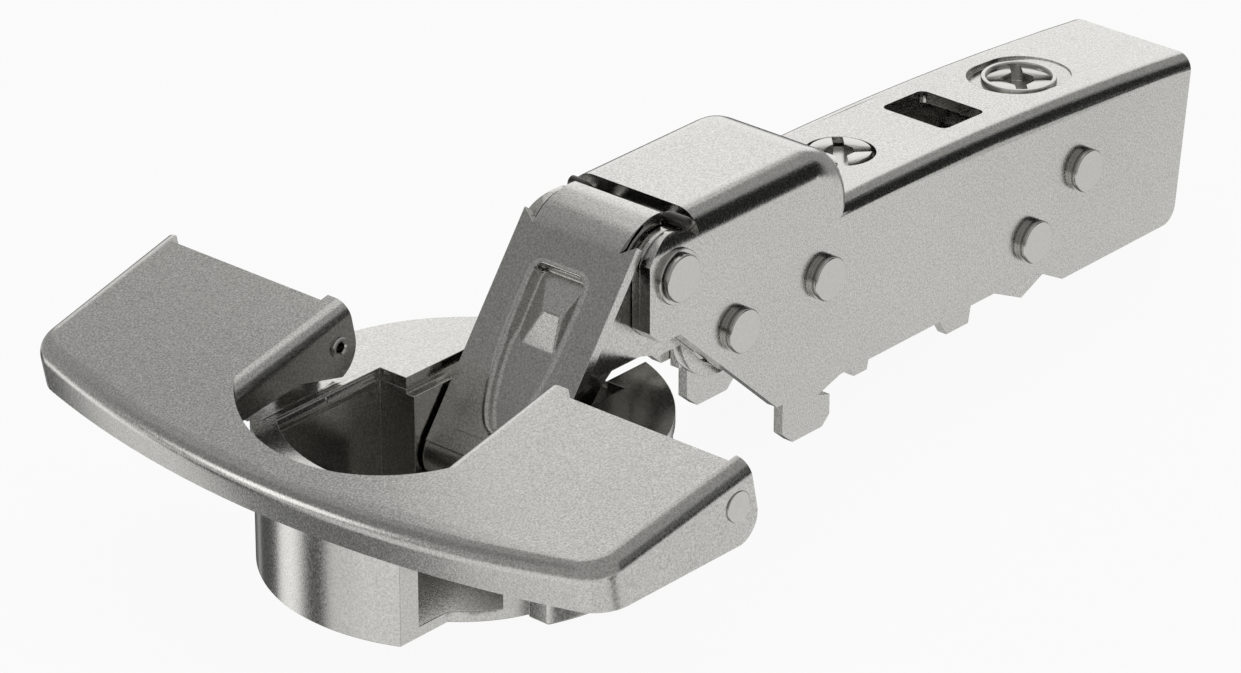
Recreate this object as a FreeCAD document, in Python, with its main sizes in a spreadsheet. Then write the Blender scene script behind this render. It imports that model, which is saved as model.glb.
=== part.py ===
import FreeCAD, Part
import math
import os
import Sketcher

# Concealed hinge with a clip-on arm and a cup held by a crescent flap, standing open.
# Millimetres. X runs along the arm to its rear, Y to the left and Z up. The cup hangs in front, mouth up.
# The pieces are drawn from the front rivet's axis, midway between the arm's walls. The files have their
# origin where the cup's axis meets the door.

Vector = FreeCAD.Vector
doc = FreeCAD.newDocument("ConcealedHinge")
sheet = doc.addObject("Spreadsheet::Sheet", "Dims")

dimensions = {
    # fits
    "running_fit": 0.05,
    "press_fit": 0.01,
    "side_play": 0.1,
    "seat_gap": 0.02,
    # rivets through the arm
    "front_pin_radius": 2.13,
    "arm_pin_radius": 2.02,
    "pin_proud": 0.9,
    "pin_rim": 0.3,
    "collar_radius": 2.5,
    "collar_height": 0.35,
    "link_pin_x": 8.0,
    "link_pin_z": -7.8,
    "spring_pin_x": 19.4,
    "spring_pin_z": -7.0,
    "carrier_pin_x": 48.65,
    "carrier_pin_z": -13.85,
    "lever_pin_x": 55.9,
    "lever_pin_z": -9.3,
    # arm
    "arm_half": 7.12,
    "arm_sheet": 1.1,
    "nose_radius": 3.87,
    "nose_front": 3.4,
    "nose_chin": 4.2,
    "nose_bottom": 5.6,
    "nose_bottom_front": 1.9,
    "nose_bottom_rear": 0.5,
    "hood_front": 2.9,
    "hood_top": 4.75,
    "hood_rear": 18.0,
    "hood_fold": 2.4,
    "rear_top": 0.9,
    "rear_drop": 2.65,
    "rear_crown": 425.0,
    "rear_fold": 1.6,
    "rear_end": 72.2,
    "arm_bottom": 17.3,
    "throat_x": 13.3,
    "heel_step": 49.4,
    "heel_front": 53.5,
    "heel_bottom": 19.45,
    "heel_rear": 70.2,
    "window_front": 40.16,
    "window_rear": 46.05,
    "window_half": 3.64,
    # liner
    "liner_sheet": 0.9,
    "liner_fold": 1.5,
    "liner_setback": 0.7,
    "liner_top_rear": 17.0,
    "liner_rear": 22.3,
    "liner_rear_top": 3.0,
    "liner_bottom": 12.0,
    # adjusting screws
    "overlay_x": 30.1,
    "overlay_hole": 3.2,
    "overlay_head": 2.8,
    "overlay_proud": 0.1,
    "overlay_shank": 2.5,
    "overlay_tip": 9.0,
    "flange_radius": 3.9,
    "flange_thick": 0.8,
    "screw_gap": 0.3,
    "cam_x": 55.5,
    "cam_hole": 3.15,
    "cam_head": 2.95,
    "cam_recess_length": 10.6,
    "cam_recess_width": 8.0,
    "cam_recess_depth": 0.5,
    "cam_offset": 1.0,
    "cam_pin": 1.5,
    "cam_tip": 6.6,
    "slot_width": 1.0,
    "slot_length": 3.6,
    "slot_depth": 0.9,
    # carrier
    "carrier_half": 5.95,
    "carrier_sheet": 1.0,
    "carrier_front": 14.4,
    "carrier_strip_top": 13.4,
    "carrier_bottom": 17.9,
    "carrier_rear": 51.6,
    "carrier_ear": 3.0,
    "bridge_front": 26.0,
    "bridge_rear": 36.0,
    "bridge_top": 5.6,
    "bridge_thick": 1.4,
    "hook_front": 15.5,
    "hook_rear": 21.9,
    "hook_bottom": 22.4,
    "mid_hook_front": 37.0,
    "mid_hook_rear": 41.7,
    "mid_hook_bottom": 19.8,
    "stub_front": 24.4,
    "stub_rear": 27.3,
    "stub_bottom": 19.1,
    # release lever
    "lever_half": 4.7,
    "lever_sheet": 1.0,
    "lever_ear": 3.2,
    "lever_tab_end": 67.5,
    "lever_tab_top": 9.6,
    "lever_tab_thick": 1.6,
    "tongue_front": 44.5,
    "tongue_top": 17.0,
    "tongue_bottom": 21.1,
    "tongue_tip": 50.7,
    "tongue_rear": 54.6,
    "lever_spring_x": 64.0,
    "lever_spring_radius": 1.6,
    "lever_wire": 0.3,
    "lever_turns": 3.0,
    # closing spring
    "spring_wire": 0.58,
    "spring_bar_x": 1.5,
    "spring_bar_half": 6.8,
    "spring_leg_y": 4.4,
    "spring_dip": 2.3,
    "spring_knee": 0.96,
    "spring_bend": 0.9,
    "spring_hook": 2.75,
    "spring_pin_drop": 1.0,
    # outer link
    "cup_pin_outer_x": -14.6,
    "cup_pin_outer_z": -15.0,
    "outer_half": 6.28,
    "outer_sheet": 1.06,
    "outer_offset": 5.5,
    "outer_eye": 2.46,
    "outer_lead": 2.58,
    "outer_top": 0.35,
    "curl_half": 4.8,
    "curl_radius": 4.95,
    "curl_start": 148.0,
    "curl_end": 82.0,
    "ear_radius": 3.6,
    "ear_inner": 2.6,
    "ear_outer": 3.6,
    "well_half": 2.9,
    "well_depth": 0.45,
    "well_top": 3.4,
    "well_bottom": 17.6,
    # inner link
    "cup_pin_inner_x": -11.6,
    "cup_pin_inner_z": -11.5,
    "inner_half": 5.0,
    "inner_sheet": 1.05,
    "inner_front_eye": 1.28,
    "inner_front_gap": 0.65,
    "inner_neck": 2.8,
    "inner_rear_eye": 4.9,
    "inner_rear_hole": 3.65,
    "inner_under": 8.2,
    "inner_step_x": 2.2,
    "inner_step_z": 7.4,
    "inner_web_front": 5.8,
    "inner_heel": 7.3,
    "inner_heel_z": 8.5,
    # cup
    "cup_x": -18.8,
    "cup_radius": 17.4,
    "cup_wall": 1.0,
    "door_plane": 8.9,
    "cup_bottom": 20.95,
    "side_flat": 7.4,
    "side_flat_rear": 26.4,
    "core_radius": 12.5,
    "pocket_half": 6.6,
    "pocket_step": 0.4,
    "flange_lip_radius": 17.6,
    "flange_lip_thick": 1.2,
    "seat_relief": 0.1,
    "relief_margin": 0.15,
    "cup_pin_half": 8.7,
    "outer_cup_pin_radius": 1.4,
    "inner_cup_pin_radius": 0.85,
    "mouth_front": 15.4,
    "mouth_half": 10.5,
    "mouth_step": 17.6,
    "mouth_rear_half": 7.5,
    "mouth_rear": 7.0,
    "notch_half": 5.5,
    "notch_floor": 11.4,
    # side jaws
    "jaw_half": 7.4,
    "jaw_top": 9.1,
    "jaw_bottom": 19.3,
    "jaw_travel": 1.1,
    "jaw_bite": 0.25,
    "jaw_gap": 0.2,
    # flap
    "flap_tilt": 12.0,
    "flap_rear_x": -21.5,
    "flap_rear_z": -0.95,
    "flap_sheet": 1.2,
    "flap_rim_depth": 3.4,
    "flap_front": 21.6,
    "flap_arc": 103.0,
    "flap_half": 32.6,
    "flap_front_half": 31.7,
    "flap_corner": 3.5,
    "flap_fold": 1.5,
    "flap_cut_radius": 15.45,
    "flap_cut_centre": 2.4,
    "flap_pin_x": -21.95,
    "flap_pin_z": -4.4,
    "ear_rear": 0.85,
    "ear_drop": 6.9,
    "ear_low_x": 1.5,
    "ear_round": 2.3,
    "ear_fold": 1.5,
    "inner_ear_face": 11.0,
    "inner_ear_front": 12.8,
    "inner_ear_depth": 3.3,
    "inner_ear_drop": 6.2,
    "inner_ear_low_x": 1.4,
    "inner_ear_neck_x": 6.2,
    "inner_ear_neck": 3.9,
    "tab_width": 0.9,
    "flap_pin_radius": 1.0,
    "flap_head_radius": 1.35,
    "flap_head_height": 0.6,
    "lug_inner": 15.0,
    "lug_outer": 27.0,
    "lug_thick": 2.0,
    "lug_radius": 1.75,
    "wing_gap": 0.3,
    "wing_front": 30.5,
    "wing_rear": 20.0,
}


class Size:
    """A number together with the sheet's formula that gives it."""

    def __init__(self, value, formula):
        self.value = value
        self.formula = formula

    def __add__(self, other):
        other = as_size(other)
        return Size(self.value + other.value, "(" + self.formula + " + " + other.formula + ")")

    def __sub__(self, other):
        other = as_size(other)
        return Size(self.value - other.value, "(" + self.formula + " - " + other.formula + ")")

    def __mul__(self, other):
        other = as_size(other)
        return Size(self.value * other.value, "(" + self.formula + " * " + other.formula + ")")

    def __truediv__(self, other):
        other = as_size(other)
        return Size(self.value / other.value, "(" + self.formula + " / " + other.formula + ")")

    def __neg__(self):
        return as_size(0.0) - self

    def __rsub__(self, other):
        return as_size(other) - self

    __radd__ = __add__
    __rmul__ = __mul__


def as_size(number):
    if isinstance(number, Size):
        return number
    return Size(float(number), repr(float(number)))


def root(size):
    return Size(math.sqrt(size.value), "sqrt(" + size.formula + ")")


def cosine(angle):
    angle = as_size(angle)
    return Size(math.cos(math.radians(angle.value)), "cos(" + angle.formula + " * 1 deg)")


def sine(angle):
    angle = as_size(angle)
    return Size(math.sin(math.radians(angle.value)), "sin(" + angle.formula + " * 1 deg)")


def angle_of(x, z):
    return Size(math.degrees(math.atan2(z.value, x.value)), "(atan2(" + z.formula + "; " + x.formula + ") / 1 deg)")


class Sizes:
    """Every cell of the sheet under its own word."""


size = Sizes()
for row, (alias, number) in enumerate(dimensions.items(), start=1):
    sheet.set("A" + str(row), alias)
    sheet.set("B" + str(row), repr(number))
    sheet.setAlias("B" + str(row), alias)
    setattr(size, alias, Size(number, "Dims." + alias))
doc.recompute()


def bind(thing, prop, value):
    """Tie a property to the sheet."""
    thing.setExpression(prop, as_size(value).formula)


def point(corner):
    return Vector(as_size(corner[0]).value, as_size(corner[1]).value, 0)


def arc_between(start, end, radius):
    """Arc from start to end: a positive radius turns left on the way, a negative one right."""
    chord = end - start
    half = chord.Length / 2
    rise = math.sqrt(max(radius * radius - half * half, 0.0))
    side = Vector(-chord.y, chord.x, 0).normalize()
    centre = start + chord / 2 + side * (rise if radius > 0 else -rise)
    first = math.atan2(start.y - centre.y, start.x - centre.x)
    last = math.atan2(end.y - centre.y, end.x - centre.x)
    circle = Part.Circle(centre, Vector(0, 0, 1), abs(radius))
    if radius > 0:
        return Part.ArcOfCircle(circle, first, last)
    return Part.ArcOfCircle(circle, last, first)


def sketch_on(body, name, plane, height=None):
    """A sketch on one of the body's own origin planes, or at a height above it."""
    sketch = body.newObject("Sketcher::SketchObject", name)
    support = [item for item in body.Origin.OriginFeatures if item.Role == plane][0]
    sketch.AttachmentSupport = (support, "")
    sketch.MapMode = "FlatFace"
    if height is not None:
        bind(sketch, "AttachmentOffset.Base.z", height)
    return sketch


def outline(sketch, corners):
    """A closed outline through the corners. A third value bends the side that starts there."""
    base = sketch.GeometryCount
    count = len(corners)
    ends = []
    for index, corner in enumerate(corners):
        start = point(corner)
        end = point(corners[(index + 1) % count])
        if len(corner) == 3:
            sketch.addGeometry(arc_between(start, end, as_size(corner[2]).value))
            ends.append((1, 2) if as_size(corner[2]).value > 0 else (2, 1))
        else:
            sketch.addGeometry(Part.LineSegment(start, end))
            ends.append((1, 2))
    for index, corner in enumerate(corners):
        following = (index + 1) % count
        sketch.addConstraint(Sketcher.Constraint(
            "Coincident", base + index, ends[index][1], base + following, ends[following][0]))
    for index, corner in enumerate(corners):
        fix_point(sketch, base + index, ends[index][0], corner[0], corner[1])
        if len(corner) == 3:
            bend = as_size(corner[2])
            bend = bend if bend.value > 0 else -bend
            rule = sketch.addConstraint(Sketcher.Constraint("Radius", base + index, bend.value))
            sketch.setExpression("Constraints[" + str(rule) + "]", bend.formula)


def fix_point(sketch, geometry, end, x, y):
    for kind, place in (("DistanceX", as_size(x)), ("DistanceY", as_size(y))):
        rule = sketch.addConstraint(Sketcher.Constraint(kind, -1, 1, geometry, end, place.value))
        sketch.setExpression("Constraints[" + str(rule) + "]", place.formula)


def ring(sketch, x, y, radius):
    """A circle in a sketch."""
    radius = as_size(radius)
    index = sketch.addGeometry(Part.Circle(point((x, y)), Vector(0, 0, 1), radius.value))
    fix_point(sketch, index, 3, x, y)
    rule = sketch.addConstraint(Sketcher.Constraint("Radius", index, radius.value))
    sketch.setExpression("Constraints[" + str(rule) + "]", radius.formula)


def new_body(label):
    body = doc.addObject("PartDesign::Body", label.title().replace("_", ""))
    body.Label = label
    return body


def extrude(body, kind, sketch, width, centred=True, flipped=False):
    """Pad or pocket a sketch, by default half to each side of its plane."""
    feature = body.newObject("PartDesign::" + kind, sketch.Name + kind)
    feature.Profile = sketch
    feature.SideType = "Symmetric" if centred else "One side"
    feature.Reversed = flipped
    bind(feature, "Length", width)
    doc.recompute()
    return feature


def round_edges(body, name, radius, chosen):
    """Fillet those edges of the body so far that the test picks."""
    base = body.Tip
    names = ["Edge" + str(number) for number, edge in enumerate(base.Shape.Edges, start=1) if chosen(edge)]
    if not names:
        raise ValueError("no edge to round for " + name)
    feature = body.newObject("PartDesign::Fillet", name)
    feature.Base = (base, names)
    bind(feature, "Radius", radius)
    doc.recompute()
    body.Tip = feature
    return feature


def middle(edge):
    return edge.valueAt((edge.FirstParameter + edge.LastParameter) / 2)


def on_side(half, corners, sides):
    """Test for the two long edges over the given sides of an outline in the XZ plane."""
    spots = []
    for side in sides:
        start = point(corners[side])
        end = point(corners[(side + 1) % len(corners)])
        if len(corners[side]) == 3:
            arc = arc_between(start, end, as_size(corners[side][2]).value)
            spots.append(arc.value((arc.FirstParameter + arc.LastParameter) / 2))
        else:
            spots.append((start + end) / 2)

    def chosen(edge):
        spot = middle(edge)
        if abs(abs(spot.y) - as_size(half).value) > 0.001:
            return False
        return any(math.hypot(spot.x - place.x, spot.z - place.y) < 0.01 for place in spots)

    return chosen


def at_corner(*corners):
    """Test for edges that run along Y through the given corners of the XZ plane."""
    spots = [point(corner) for corner in corners]

    def chosen(edge):
        first = edge.Vertexes[0].Point
        last = edge.Vertexes[-1].Point
        if math.hypot(first.x - last.x, first.z - last.z) > 0.001:
            return False
        return any(math.hypot(first.x - place.x, first.z - place.y) < 0.01 for place in spots)

    return chosen


def slab(label, corners, half, folds=None, fold_radius=None):
    """A plate as wide as the part: an outline in the XZ plane, its long edges folded over."""
    body = new_body(label)
    sketch = sketch_on(body, body.Name + "Side", "XZ_Plane")
    outline(sketch, corners)
    extrude(body, "Pad", sketch, half * 2)
    if folds:
        round_edges(body, body.Name + "Fold", fold_radius, on_side(half, corners, folds))
    return body


def rod(label, x, z, radius, half):
    """A round bar along Y, centred on the part's middle."""
    bar = doc.addObject("Part::Cylinder", label.title().replace("_", ""))
    bar.Label = label
    bar.Placement = FreeCAD.Placement(Vector(0, 0, 0), FreeCAD.Rotation(Vector(1, 0, 0), 90))
    bind(bar, "Radius", radius)
    bind(bar, "Height", as_size(half) * 2)
    bind(bar, "Placement.Base.x", x)
    bind(bar, "Placement.Base.y", half)
    bind(bar, "Placement.Base.z", z)
    return bar


def post(label, x, y, low, high, radius):
    """A round bar along Z."""
    bar = doc.addObject("Part::Cylinder", label.title().replace("_", ""))
    bar.Label = label
    bind(bar, "Radius", radius)
    bind(bar, "Height", as_size(high) - low)
    bind(bar, "Placement.Base.x", x)
    bind(bar, "Placement.Base.y", y)
    bind(bar, "Placement.Base.z", low)
    return bar


def block(label, low, high):
    """A box between two corners."""
    box = doc.addObject("Part::Box", label.title().replace("_", ""))
    box.Label = label
    for prop, axis, start, end in zip(("Length", "Width", "Height"), "xyz", low, high):
        bind(box, prop, as_size(end) - start)
        bind(box, "Placement.Base." + axis, start)
    return box


def join(label, *pieces):
    fused = doc.addObject("Part::MultiFuse", label.title().replace("_", ""))
    fused.Label = label
    fused.Shapes = list(pieces)
    return fused


def cut(label, base, *tools):
    """The base with the tools taken out of it, one after another."""
    result = base
    for number, tool in enumerate(tools, start=1):
        last = number == len(tools)
        following = doc.addObject("Part::Cut", label.title().replace("_", "") + ("" if last else str(number)))
        following.Label = label if last else label + "_cut" + str(number)
        following.Base = result
        following.Tool = tool
        result = following
    return result


def shared(label, *pieces):
    """What the pieces have in common."""
    result = doc.addObject("Part::MultiCommon", label.title().replace("_", ""))
    result.Label = label
    result.Shapes = list(pieces)
    return result


def turned(label, corners, angle=360):
    """A body turned about the Z axis from an outline of radius and height."""
    body = new_body(label)
    sketch = sketch_on(body, body.Name + "Half", "XZ_Plane")
    outline(sketch, corners)
    turn = body.newObject("PartDesign::Revolution", body.Name + "Turn")
    turn.Profile = sketch
    turn.ReferenceAxis = (sketch, ["V_Axis"])
    turn.Angle = angle
    doc.recompute()
    return body


def place(thing, x, y, z, rotation=None):
    """Set a piece down and keep its place tied to the sheet."""
    thing.Placement = FreeCAD.Placement(Vector(0, 0, 0), rotation or FreeCAD.Rotation())
    for axis, value in (("x", x), ("y", y), ("z", z)):
        bind(thing, "Placement.Base." + axis, value)


along_y = FreeCAD.Rotation(Vector(1, 0, 0), 90)
far = 60.0

# Rivets through the arm's walls. Their rims are turned down a little.
pin_half = size.arm_half + size.pin_proud


def arm_pin(label, x, z, radius, collar=False):
    bottom = [(0, -pin_half), (radius - size.pin_rim, -pin_half), (radius, size.pin_rim - pin_half)]
    top = [(radius, pin_half - size.pin_rim), (radius - size.pin_rim, pin_half), (0, pin_half)]
    ring_low = size.arm_half
    ring_high = size.arm_half + size.collar_height
    if collar:
        bottom += [(radius, -ring_high), (size.collar_radius, -ring_high),
                   (size.collar_radius, -ring_low), (radius, -ring_low)]
        top = [(radius, ring_low), (size.collar_radius, ring_low),
               (size.collar_radius, ring_high), (radius, ring_high)] + top
    pin = turned(label, bottom + top)
    place(pin, x, 0, z, along_y)
    return pin


arm_pin("front_pin", as_size(0), as_size(0), size.front_pin_radius, collar=True)
arm_pin("inner_link_pin", size.link_pin_x, size.link_pin_z, size.arm_pin_radius)
arm_pin("spring_pin", size.spring_pin_x, size.spring_pin_z, size.arm_pin_radius)
arm_pin("carrier_pin", size.carrier_pin_x, size.carrier_pin_z, size.arm_pin_radius)
arm_pin("lever_pin", size.lever_pin_x, size.lever_pin_z, size.arm_pin_radius)


def pin_holes(label, places, half):
    """Cutters for the rivets, wide enough for their fit."""
    return [rod(label + str(number), x, z, radius + fit, half)
            for number, (x, z, radius, fit) in enumerate(places, start=1)]


front_places = [
    (as_size(0), as_size(0), size.front_pin_radius, size.press_fit),
    (size.link_pin_x, size.link_pin_z, size.arm_pin_radius, size.press_fit),
    (size.spring_pin_x, size.spring_pin_z, size.arm_pin_radius, size.press_fit),
]
rear_places = [
    (size.carrier_pin_x, size.carrier_pin_z, size.arm_pin_radius, size.press_fit),
    (size.lever_pin_x, size.lever_pin_z, size.arm_pin_radius, size.press_fit),
]

# Arm housing: one folded sheet, high over the front and low behind.
nose_top = root(size.nose_radius * size.nose_radius - size.nose_front * size.nose_front)
hood_foot = root(size.nose_radius * size.nose_radius - size.hood_front * size.hood_front)
shoulder = size.hood_top + size.rear_top
shoulder_x = size.hood_rear + shoulder
slant = (size.arm_bottom - size.nose_bottom) / (size.throat_x - size.nose_bottom_rear)
front_side = [
    (-size.nose_front, nose_top, -size.nose_radius),
    (size.hood_front, hood_foot),
    (size.hood_front, size.hood_top),
    (size.hood_rear, size.hood_top, -shoulder),
    (shoulder_x, -size.rear_top),
    (shoulder_x, -size.arm_bottom),
    (size.throat_x, -size.arm_bottom),
    (size.nose_bottom_rear, -size.nose_bottom),
    (-size.nose_bottom_front, -size.nose_bottom),
    (-size.nose_front, -size.nose_chin),
]
arm_front = slab("arm_front", front_side, size.arm_half, [2, 3, 4], size.hood_fold)
rear_low = size.rear_top + size.rear_drop
rear_side = [
    (size.hood_rear, -size.rear_top),
    (shoulder_x, -size.rear_top, -size.rear_crown),
    (size.rear_end, -rear_low),
    (size.heel_rear, -size.heel_bottom),
    (size.heel_front, -size.heel_bottom),
    (size.heel_step, -size.arm_bottom),
    (size.hood_rear, -size.arm_bottom),
]
arm_rear = slab("arm_rear", rear_side, size.arm_half, [0, 1], size.rear_fold)
round_edges(arm_rear, "HeelRound", 1.8, at_corner((size.heel_rear, -size.heel_bottom)))
inner_half = size.arm_half - size.arm_sheet
inner_hood = size.hood_top - size.arm_sheet
front_hollow_side = [
    (-far, far),
    (size.hood_front, far),
    (size.hood_front, inner_hood),
    (size.hood_rear, inner_hood, size.arm_sheet - shoulder),
    (shoulder_x - size.arm_sheet, -size.rear_top),
    (shoulder_x - size.arm_sheet, -far),
    (-far, -far),
]
front_hollow = slab("arm_front_hollow", front_hollow_side, inner_half, [2, 3, 4], size.hood_fold - size.arm_sheet)
rear_hollow_side = [
    (size.hood_rear, -size.rear_top - size.arm_sheet),
    (shoulder_x, -size.rear_top - size.arm_sheet, -size.rear_crown),
    (size.rear_end, -rear_low - size.arm_sheet),
    (size.rear_end, -far),
    (size.hood_rear, -far),
]
rear_hollow = slab("arm_rear_hollow", rear_hollow_side, inner_half, [0, 1], size.rear_fold - size.arm_sheet)
window = block("arm_window", (size.window_front, -size.window_half, -far), (size.window_rear, size.window_half, 0))
overlay_hole = post("overlay_hole", size.overlay_x, 0, -5.0, 3.0, size.overlay_hole)
cam_hole = post("cam_hole", size.cam_x, 0, -5.0, 3.0, size.cam_hole)


def top_at(x):
    """Height of the rear top's arc, by its sagitta formula."""
    reach = x - shoulder_x
    whole = size.rear_end - shoulder_x
    bow = reach * (whole - reach) / (size.rear_crown * 2)
    return -size.rear_top - size.rear_drop * reach / whole + bow


cam_top = top_at(size.cam_x)
recess = new_body("cam_recess")
recess_sketch = sketch_on(recess, "RecessOval", "XY_Plane", cam_top - size.cam_recess_depth)
recess_end = (size.cam_recess_length - size.cam_recess_width) / 2
recess_half = size.cam_recess_width / 2
outline(recess_sketch, [
    (size.cam_x - recess_end, -recess_half),
    (size.cam_x + recess_end, -recess_half, recess_half + 0.001),
    (size.cam_x + recess_end, recess_half),
    (size.cam_x - recess_end, recess_half, recess_half + 0.001),
])
extrude(recess, "Pad", recess_sketch, as_size(3.0), centred=False)
cut("arm_housing", join("arm_outside", arm_front, arm_rear), front_hollow, rear_hollow, window,
    overlay_hole, cam_hole, recess, *pin_holes("arm_pin_hole", front_places + rear_places, far))

# Liner: a second folded sheet inside the hood, its nose flush with the arm's.
liner_half = inner_half - size.seat_gap
liner_top = inner_hood - size.side_play
liner_front = size.hood_front + size.liner_setback
liner_foot = root(size.nose_radius * size.nose_radius - liner_front * liner_front)
liner_throat = size.nose_bottom_rear + (size.liner_bottom - size.nose_bottom) / slant
liner_side = [
    (-size.nose_front, nose_top, -size.nose_radius),
    (liner_front, liner_foot),
    (liner_front, liner_top),
    (size.liner_top_rear, liner_top),
    (size.liner_rear, -size.liner_rear_top),
    (size.liner_rear, -size.liner_bottom),
    (liner_throat, -size.liner_bottom),
    (size.nose_bottom_rear, -size.nose_bottom),
    (-size.nose_bottom_front, -size.nose_bottom),
    (-size.nose_front, -size.nose_chin),
]
liner_solid = slab("liner_solid", liner_side, liner_half, [2], size.liner_fold)
liner_inner = liner_half - size.liner_sheet
liner_hollow = slab("liner_hollow", [
    (-far, far),
    (liner_front, far),
    (liner_front, liner_top - size.liner_sheet),
    (size.liner_top_rear + far, liner_top - size.liner_sheet),
    (size.liner_top_rear + far, -far),
    (-far, -far),
], liner_inner, [2], size.liner_fold - size.liner_sheet)
cut("arm_liner", liner_solid, liner_hollow, *pin_holes("liner_pin_hole", front_places, far))

# Side adjusting screw: its head shows through the arm, a flange holds it from below.
overlay_top = size.overlay_proud - size.rear_top
overlay_under = -size.rear_top - size.arm_sheet - size.screw_gap


def cross_slots(label, top):
    """A plain cross for the driver."""
    half_width = size.slot_width / 2
    half_length = size.slot_length / 2
    floor = top - size.slot_depth
    first = block(label + "_x", (-half_length, -half_width, floor), (half_length, half_width, top + 1.0))
    second = block(label + "_y", (-half_width, -half_length, floor), (half_width, half_length, top + 1.0))
    return join(label, first, second)


overlay_body = turned("overlay_blank", [
    (0, -size.overlay_tip),
    (size.overlay_shank, -size.overlay_tip),
    (size.overlay_shank, overlay_under - size.flange_thick),
    (size.flange_radius, overlay_under - size.flange_thick),
    (size.flange_radius, overlay_under),
    (size.overlay_head, overlay_under),
    (size.overlay_head, overlay_top),
    (0, overlay_top),
])
overlay_screw = cut("overlay_screw", overlay_body, cross_slots("overlay_slots", overlay_top))
place(overlay_screw, size.overlay_x, 0, 0)

# Depth cam: a headed stub with its cam pin off centre, held by a collar under the sheet.
cam_head_top = cam_top - size.cam_recess_depth + size.overlay_proud
cam_under = cam_top - size.arm_sheet - size.screw_gap
cam_bottom = cam_under - size.flange_thick * 2 - size.seat_gap
cam_blank = turned("cam_blank", [
    (0, cam_bottom),
    (size.cam_head - 1.0, cam_bottom),
    (size.cam_head - 1.0, cam_under - size.seat_gap),
    (size.cam_head, cam_under - size.seat_gap),
    (size.cam_head, cam_head_top),
    (0, cam_head_top),
])
cam_stub = post("cam_stub", size.cam_offset, 0, cam_bottom - size.cam_tip + 4.8, cam_bottom, size.cam_pin)
depth_cam = cut("depth_cam", join("cam_whole", cam_blank, cam_stub), cross_slots("cam_slots", cam_head_top))
place(depth_cam, size.cam_x, 0, 0)
cam_ring = turned("cam_ring", [
    (size.cam_head - 1.0 + size.running_fit, cam_under - size.seat_gap - size.flange_thick),
    (size.flange_radius, cam_under - size.seat_gap - size.flange_thick),
    (size.flange_radius, cam_under - size.seat_gap),
    (size.cam_head - 1.0 + size.running_fit, cam_under - size.seat_gap),
])
place(cam_ring, size.cam_x, 0, 0)

# Carrier: the inner channel that clips to a mounting plate and tilts on its rivet.
carrier_side = [
    (size.carrier_front, -size.carrier_strip_top),
    (size.bridge_front - 1.5, -size.carrier_strip_top),
    (size.bridge_front, -size.bridge_top),
    (size.bridge_rear, -size.bridge_top),
    (size.bridge_rear + 2.5, -size.carrier_strip_top + 2.0),
    (size.carrier_pin_x, -size.carrier_strip_top + size.carrier_ear - 0.45),
    (size.carrier_rear, -size.carrier_strip_top),
    (size.carrier_rear, -size.arm_bottom + 1.2),
    (size.tongue_front - 2.0, -size.carrier_bottom),
    (size.mid_hook_rear, -size.carrier_bottom),
    (size.mid_hook_rear - 0.4, -size.mid_hook_bottom),
    (size.mid_hook_front + 1.2, -size.mid_hook_bottom),
    (size.mid_hook_front, -size.carrier_bottom),
    (size.stub_rear, -size.carrier_bottom),
    (size.stub_rear - 0.3, -size.stub_bottom),
    (size.stub_front + 0.8, -size.stub_bottom),
    (size.stub_front, -size.carrier_bottom),
    (size.hook_rear - 1.6, -size.carrier_bottom - 1.2),
    (size.hook_rear, -size.carrier_bottom - 1.7),
    (size.hook_rear, -size.hook_bottom + 0.9),
    (size.hook_rear - 1.0, -size.hook_bottom),
    (size.hook_front + 1.4, -size.hook_bottom),
    (size.hook_front, -size.hook_bottom + 1.2),
    (size.hook_front, -size.carrier_bottom),
    (size.carrier_front, -size.carrier_bottom),
]
carrier_solid = slab("carrier_solid", carrier_side, size.carrier_half, [2], 1.4)
carrier_inner = size.carrier_half - size.carrier_sheet
carrier_hollow = slab("carrier_hollow", [
    (-far, -size.carrier_strip_top + 0.4),
    (size.bridge_front - 1.4, -size.carrier_strip_top + 0.4),
    (size.bridge_front - 1.4, -size.bridge_top - size.bridge_thick),
    (size.bridge_rear + far, -size.bridge_top - size.bridge_thick),
    (size.bridge_rear + far, -far),
    (-far, -far),
], carrier_inner)
thread_hole = post("thread_hole", size.overlay_x, 0, -size.overlay_tip - 2.0, 0, size.overlay_shank + size.running_fit * 4)
carrier_hole = rod("carrier_hole", size.carrier_pin_x, size.carrier_pin_z, size.arm_pin_radius + size.running_fit, far)
cut("carrier", carrier_solid, carrier_hollow, thread_hole, carrier_hole)

# Release lever: turns on the last rivet. Its tongue grips the plate, its tab is pressed.
tab_top = -size.lever_tab_top
lever_side = [
    (size.lever_pin_x - size.lever_ear, size.lever_pin_z),
    (size.lever_pin_x, size.lever_pin_z + size.lever_ear),
    (size.lever_pin_x + size.lever_ear, size.lever_pin_z),
    (size.lever_tab_end, tab_top),
    (size.lever_tab_end, tab_top - size.lever_tab_thick),
    (size.lever_pin_x + size.lever_ear, tab_top - size.lever_tab_thick - 1.2),
    (size.tongue_rear, -size.heel_bottom),
    (size.tongue_tip, -size.tongue_bottom),
    (size.tongue_front, -size.arm_bottom - 0.9),
    (size.tongue_front, -size.tongue_top),
    (size.tongue_tip, -size.tongue_top),
    (size.lever_pin_x - size.lever_ear, size.lever_pin_z - size.lever_ear),
]
lever_solid = slab("lever_solid", lever_side, size.lever_half)
lever_hollow = slab("lever_hollow", [
    (size.lever_pin_x - size.lever_ear - 1.0, far),
    (size.lever_pin_x + size.lever_ear + 1.0, far),
    (size.lever_pin_x + size.lever_ear + 1.0, -size.tongue_top + 1.0),
    (size.lever_pin_x - size.lever_ear - 1.0, -size.tongue_top + 1.0),
], size.lever_half - size.lever_sheet)
lever_hole = rod("lever_hole", size.lever_pin_x, size.lever_pin_z, size.arm_pin_radius + size.running_fit, far)
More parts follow.
